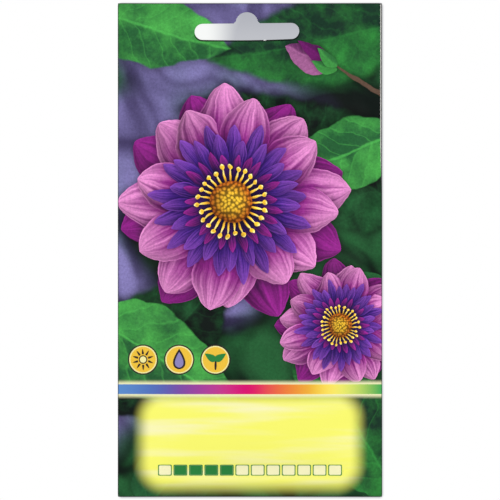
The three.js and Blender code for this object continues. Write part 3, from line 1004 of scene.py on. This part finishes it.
def slot_outline():
    """The punched slot: a bar with round ends, a hump on its top edge and a lower lip that sags,
    all tilted a little."""
    end_radius = SLOT_HEIGHT / 2
    end_x = SLOT_LENGTH / 2 - end_radius
    bar_top = -HUMP_RADIUS
    bar_bottom = bar_top - SLOT_HEIGHT
    fillet = math.degrees(math.asin(HUMP_FILLET / HUMP_RADIUS))
    foot = HUMP_RADIUS + HUMP_FILLET
    lip = [(x, bar_bottom - SLOT_SAG * math.cos(math.pi * x / (2 * end_x)))
           for x in even_steps(-end_x, end_x, 30)]
    points = [
        *lip[1:-1],
        *arc(end_x, bar_top - end_radius, end_radius, -90, 90, 16),
        *[(x, bar_top) for x in even_steps(end_x, foot, 10)[1:]],
        *arc(0, bar_top, HUMP_RADIUS, fillet, 180 - fillet, 24),
        *[(x, bar_top) for x in even_steps(-foot, -end_x, 10)[:-1]],
        *arc(-end_x, bar_top - end_radius, end_radius, 90, 270, 16),
    ]
    turn = math.cos(SLOT_TILT), math.sin(SLOT_TILT)
    return [(x * turn[0] - z * turn[1], x * turn[1] + z * turn[0]) for x, z in points]


def is_within(x, z, outline):
    """Whether a point is inside a closed outline."""
    inside = False
    for (x0, z0), (x1, z1) in zip(outline, outline[1:] + outline[:1]):
        if (z0 > z) != (z1 > z) and x < x0 + (x1 - x0) * (z - z0) / (z1 - z0):
            inside = not inside
    return inside


def lattice(area, spacing):
    """Points over an area in even rows and columns."""
    xs = even_steps(area.left, area.right, round((area.right - area.left) / spacing))
    zs = even_steps(area.bottom, area.top, round((area.top - area.bottom) / spacing))
    return [(x, z) for z in zs for x in xs]


def sheet_plan(area, spacing, hole=(), edge=lambda x, z: (x, z)):
    """A sheet laid flat: its points, and the triangles between them. hole is the outline of a hole
    in it, and edge moves the points on its outer edge."""
    points = list(hole)
    for x, z in lattice(area, spacing):
        near = hole and abs(x) < SLOT_LENGTH / 2 + spacing and abs(z + SLOT_HEIGHT) < 2 * SLOT_HEIGHT
        if near and (is_within(x, z, hole) or min(math.dist((x, z), p) for p in hole) < spacing / 2):
            continue
        points.append((x, z))
    ring = [(i, (i + 1) % len(hole)) for i in range(len(hole))]
    plan, _, triangles, *_ = geometry.delaunay_2d_cdt([Vector(p) for p in points], ring, [], 0, 1e-5)
    solid = []
    for triangle in triangles:
        x = sum(plan[i].x for i in triangle) / 3
        z = sum(plan[i].y for i in triangle) / 3
        if not hole or abs(x) > SLOT_LENGTH or not is_within(x, z, hole):
            solid.append(triangle)
    return [edge(x, z) if depth_within(area, x, z) < 0.01 else (x, z) for x, z in plan], solid


def finish_piece(name, bm, materials, node):
    """Makes a piece of a mesh and puts it in the place of a CAD node."""
    bmesh.ops.recalc_face_normals(bm, faces=bm.faces[:])
    for face in bm.faces:
        face.smooth = True
    mesh = bpy.data.meshes.new(name)
    bm.to_mesh(mesh)
    bm.free()
    mesh.set_sharp_from_angle(angle=math.radians(40))
    for material in materials:
        mesh.materials.append(material)
    piece = bpy.data.objects.new(name, mesh)
    bpy.context.scene.collection.objects.link(piece)
    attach(piece, "root")
    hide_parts(node)


def add_sheet(name, plan, depths, materials, node):
    """A closed sheet over a plan. depths gives the y of its near and far face at (x, z), and
    materials are those of its near face, its far face and its rim."""
    points, triangles = plan
    bm = bmesh.new()
    near, far = [], []
    for x, z in points:
        y_near, y_far = depths(x, z)
        near.append(bm.verts.new((x * METRE, y_near * METRE, z * METRE)))
        far.append(bm.verts.new((x * METRE, y_far * METRE, z * METRE)))
    uses = {}
    for a, b, c in triangles:
        for start, end in ((a, b), (b, c), (c, a)):
            side = frozenset((start, end))
            uses[side] = None if side in uses else (start, end)
        bm.faces.new((near[a], near[b], near[c]))
        bm.faces.new((far[c], far[b], far[a])).material_index = 1
    for start, end in filter(None, uses.values()):
        bm.faces.new((near[end], near[start], far[start], far[end])).material_index = 2
    finish_piece(name, bm, materials, node)


# ---------------------------------------------------------------- the paper leaves


def leaf_depths(side, bulge):
    """The near and far face of a leaf, by place. side is -1 for the front leaf, 1 for the back."""
    def depths(x, z):
        lift = bulge * fullness(POUCH, POUCH_FULLEST, x, z)
        lift += IMPRINT * ease(depth_within(SACHET, x, z), -1.5, 1.5)
        middle = warp(x, z) + pucker(x, z)
        return sorted(middle + side * (face + lift) for face in (LEAF_FACE, LEAF_FACE + PAPER))
    return depths


def worn_corner(x, z):
    """Moves a leaf's four corner points in a little, and leaves the rest of its edge as it is."""
    if math.dist((abs(x - CENTRE_X), abs(z - CENTRE_Z)), (HALF_WIDTH, HALF_HEIGHT)) < CORNER_CUT:
        x -= math.copysign(CORNER_CUT, x - CENTRE_X)
        z -= math.copysign(CORNER_CUT, z - CENTRE_Z)
    return x, z


def front_edge(x, z):
    """The front leaf was also cut a little narrower than the back one in its upper half."""
    x, z = worn_corner(x, z)
    if x > RIGHT - LEAF_GRID / 2:
        x -= EDGE_PEEK * ease(z, PEEK_FROM, PEEK_TO)
    return x, z


def add_leaves():
    paper = bare_paper()
    hole = slot_outline()
    front_plan = sheet_plan(PACKET, LEAF_GRID, hole, front_edge)
    back_plan = sheet_plan(PACKET, LEAF_GRID, hole, worn_corner)
    add_sheet("front_paper_leaf", front_plan, leaf_depths(-1, FRONT_BULGE),
              [printed_front(), paper, paper], "front_leaf")
    add_sheet("back_paper_leaf", back_plan, leaf_depths(1, BACK_BULGE),
              [paper, printed_back(), paper], "back_leaf")


# ---------------------------------------------------------------- the glue between them


def glue_depths(x, z):
    middle = warp(x, z)
    return middle - GLUE_FACE, middle + GLUE_FACE


def glue_edge(film):
    """Draws the points of a film's edge in unevenly, as spread glue ends."""
    centre_x = (film.left + film.right) / 2
    centre_z = (film.bottom + film.top) / 2

    def edge(x, z):
        pull = GLUE_WANDER * (0.5 + 0.5 * noise.noise(Vector((x, z, 3)) * 0.7))
        return (x - pull * (x - centre_x) / (film.right - centre_x),
                z - pull * (z - centre_z) / (film.top - centre_z))
    return edge


def add_glue():
    material = dried_glue()
    for node in ("header_glue", "bottom_seam_glue", "left_seam_glue", "right_seam_glue"):
        film = area_of(node)
        hole = slot_outline() if node == "header_glue" else ()
        plan = sheet_plan(film, GLUE_GRID, hole, glue_edge(film))
        add_sheet(node + "_film", plan, glue_depths, [material] * 3, node)


# ---------------------------------------------------------------- the sachet


def foil_depths(side, bulge):
    """The near and far face of a foil, by place. side is -1 for the front foil, 1 for the back."""
    def depths(x, z):
        lift = bulge * fullness(SACHET_HOLLOW, SACHET_FULLEST, x, z)
        middle = warp(x, z) + crinkle(x, z)
        return sorted(middle + side * (face + lift) for face in (FOIL_FACE, FOIL_FACE + FOIL))
    return depths


def add_sachet():
    foil = sachet_foil()
    plan = sheet_plan(SACHET, FOIL_GRID)
    for node, side, bulge in (("sachet_front_foil", -1, SACHET_FRONT_BULGE),
                              ("sachet_back_foil", 1, SACHET_BACK_BULGE)):
        add_sheet(node + "_sheet", plan, foil_depths(side, bulge), [foil] * 3, node)


# ---------------------------------------------------------------- the seeds

PIT_COUNT = 70
PIT_RADIUS = 0.19  # as a share of the seed's half size
PIT_DEPTH = 0.09


def pit_centres():
    """Directions spread evenly over a ball, where a seed's coat is pitted."""
    golden = math.pi * (3 - math.sqrt(5))
    centres = []
    for i in range(PIT_COUNT):
        height = 1 - 2 * (i + 0.5) / PIT_COUNT
        ring = math.sqrt(1 - height * height)
        centres.append(Vector((height, ring * math.cos(golden * i), ring * math.sin(golden * i))))
    return centres


def add_seeds():
    """Flat drops with a pointed end, pitted all over."""
    coat = seed_coat()
    pits = pit_centres()
    half = Vector((SEED_LENGTH, SEED_THICKNESS, SEED_WIDTH)) / 2
    for i, (x, z, turn) in enumerate(SEEDS, 1):
        low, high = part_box(f"seed_{i}")
        middle = Vector((x, (low.y + high.y) / 2 / METRE, z))
        cosine, sine = math.cos(math.radians(turn)), math.sin(math.radians(turn))
        bm = bmesh.new()
        bmesh.ops.create_icosphere(bm, subdivisions=5, radius=1)
        for vert in bm.verts:
            near = min((vert.co - pit).length for pit in pits)
            sunk = 1 - PIT_DEPTH * (1 - ease(near, 0, PIT_RADIUS))
            taper = 1 - SEED_TAPER * max(0, vert.co.x) ** 2
            length = vert.co.x * half.x * sunk
            width = vert.co.z * half.z * sunk * taper
            depth = vert.co.y * half.y * sunk * taper
            turned = Vector((length * cosine - width * sine, depth, length * sine + width * cosine))
            vert.co = (middle + turned) * METRE
        finish_piece(f"seed_{i}_pitted", bm, [coat], f"seed_{i}")


add_leaves()
add_glue()
add_sachet()
add_seeds()

# ---------------------------------------------------------------- the stage

WALL_Y = 2.1
SHADOW = Area(LEFT + 0.35, RIGHT + 0.08, BOTTOM - 0.25, TOP - 0.05)  # the packet's shadow, painted on the wall
FLOOR_Z = BOTTOM - 6
STAGE_HALF = 700
# The board's painted light and shade: white as if lit, grey as if in the slot's shade, and the packet's
# shadow.
PAINTED_LIGHT_WHITE = linear("fbfdfb")
SLOT_PAINTED_SHADE = linear("b3b5bd")
SHADOW_GREY = linear("9a9ca4")


def painted_shadow_wall():
    """A white light board. The packet's shadow is painted on it as a soft grey behind the packet,
    and painted grey shade shows through the slot. It is there only from in front, so it hides no back."""
    material, tree = new_material("wall_board_with_painted_shadow")
    place = place_mm(tree)

    # Painted light behind the slot: white at its left end and a little lighter low down, over a painted
    # grey shade.
    axes = add(tree, SPLIT, links={0: place}).outputs
    painted_end_light = add(tree, RANGE, SMOOTH, span(axes["X"], -13.0, -0.5, 0.95, 0.0))
    painted_low_light = add(tree, RANGE, SMOOTH, span(axes["Y"], -9.0, 0.0, 0.14, 0.0))
    painted_slot_light = add(tree, MATH, LARGER, {0: painted_end_light, 1: painted_low_light})
    painted_slot_shade = add(tree, MIX, BLEND, {"Factor": painted_slot_light, "A": SLOT_PAINTED_SHADE, "B": PAINTED_LIGHT_WHITE})

    near_slot = depth_in_box(tree, place, (0, -SLOT_HEIGHT, 0), (SLOT_LENGTH / 2 + 5, 9, 0), 4)
    seen = add(tree, RANGE, SMOOTH, span(near_slot, 0.0, 3.0))
    shaded = add(tree, MIX, BLEND, {"Factor": seen, "A": SHADOW_GREY, "B": painted_slot_shade})
    # The packet's shadow, painted grey on the board just round its edges.
    inside = depth_in_area(tree, place, SHADOW, 0.9)
    painted_shadow_mask = add(tree, RANGE, SMOOTH, span(inside, -0.8, 0.5))
    colour = add(tree, MIX, BLEND, {"Factor": painted_shadow_mask, "A": WHITE, "B": shaded})
    light = add(tree, "ShaderNodeEmission", links={"Color": colour})
    side = add(tree, "ShaderNodeNewGeometry").outputs["Backfacing"]
    clear = add(tree, "ShaderNodeBsdfTransparent")
    board = add(tree, "ShaderNodeMixShader", links={0: side, 1: light, 2: clear})
    add(tree, OUTPUT, links={"Surface": board})
    return material


def pale_floor():
    """A matt white board, lit a little from within like the wall."""
    material, tree = new_material("floor_board")
    board = add(tree, "ShaderNodeBsdfDiffuse", links={"Color": linear("f2f2f2")})
    light = add(tree, "ShaderNodeEmission", links={"Color": WHITE, "Strength": 0.4})
    lit = add(tree, "ShaderNodeAddShader", links={0: board, 1: light})
    add(tree, OUTPUT, links={"Surface": lit})
    return material


def stage_board(name, corners, material):
    mesh = bpy.data.meshes.new(name)
    mesh.from_pydata([[v * METRE for v in corner] for corner in corners], [], [range(len(corners))])
    mesh.materials.append(material)
    board = bpy.data.objects.new(name, mesh)
    bpy.context.scene.collection.objects.link(board)
    return board


def add_stage():
    wall = stage_board("wall", [
        (-STAGE_HALF, WALL_Y, FLOOR_Z), (STAGE_HALF, WALL_Y, FLOOR_Z),
        (STAGE_HALF, WALL_Y, STAGE_HALF), (-STAGE_HALF, WALL_Y, STAGE_HALF),
    ], painted_shadow_wall())
    wall.visible_shadow = wall.visible_diffuse = wall.visible_glossy = False
    far = 2 * STAGE_HALF
    floor = stage_board("floor", [
        (-far, -far, FLOOR_Z), (far, -far, FLOOR_Z), (far, far, FLOOR_Z), (-far, far, FLOOR_Z),
    ], pale_floor())
    floor.visible_diffuse = floor.visible_glossy = False


# Two soft boxes in front and two behind: place and power of each.
SOFT_BOXES = {
    "key_left": ((-1500, -1100, 500), 32),
    "key_right": ((1500, -1100, 300), 29),
    "back_left": ((-1500, 1100, 500), 32),
    "back_right": ((1500, 1100, 300), 29),
}
SOFT_BOX_SIZE = 900


def add_lights():
    """The soft boxes, aimed at the middle of the packet, in a pale studio that looks white."""
    for name, (place, power) in SOFT_BOXES.items():
        light = bpy.data.lights.new(name, "AREA")
        light.size = SOFT_BOX_SIZE * METRE
        light.energy = power
        lamp = bpy.data.objects.new(name, light)
        lamp.location = Vector(place) * METRE
        aim = Vector((CENTRE_X, 0, CENTRE_Z)) - Vector(place)
        lamp.rotation_euler = aim.to_track_quat("-Z", "Y").to_euler()
        bpy.context.scene.collection.objects.link(lamp)
    world = bpy.data.worlds.new("studio")
    world.use_nodes = True
    tree = world.node_tree
    tree.nodes.clear()
    seen = add(tree, "ShaderNodeLightPath").outputs["Is Camera Ray"]
    strength = add(tree, RANGE, links=span(seen, 0, 1, 0.12, 1.0))
    sky = add(tree, "ShaderNodeBackground", links={"Color": WHITE, "Strength": strength})
    add(tree, "ShaderNodeOutputWorld", links={"Surface": sky})
    bpy.context.scene.world = world
    bpy.context.scene.view_settings.view_transform = "Standard"


def add_camera():
    """Square on to the packet's front from far off, as flat as a scanned picture."""
    camera = bpy.data.cameras.new("camera")
    camera.lens = 300
    camera.sensor_width = 36
    frame_width = FRAME_PX * MM_PER_PX
    distance = frame_width * camera.lens / camera.sensor_width
    offset_x = (FRAME_PX - PHOTO_LEFT_PX - PHOTO_RIGHT_PX) / 2 * MM_PER_PX
    offset_z = (FRAME_PX - PHOTO_TOP_PX - PHOTO_BOTTOM_PX) / 2 * MM_PER_PX
    viewer = bpy.data.objects.new("camera", camera)
    viewer.location = Vector((CENTRE_X + offset_x, -distance, CENTRE_Z - offset_z)) * METRE
    viewer.rotation_euler = (math.radians(90), 0, 0)
    bpy.context.scene.collection.objects.link(viewer)
    bpy.context.scene.camera = viewer


add_stage()
add_lights()
add_camera()
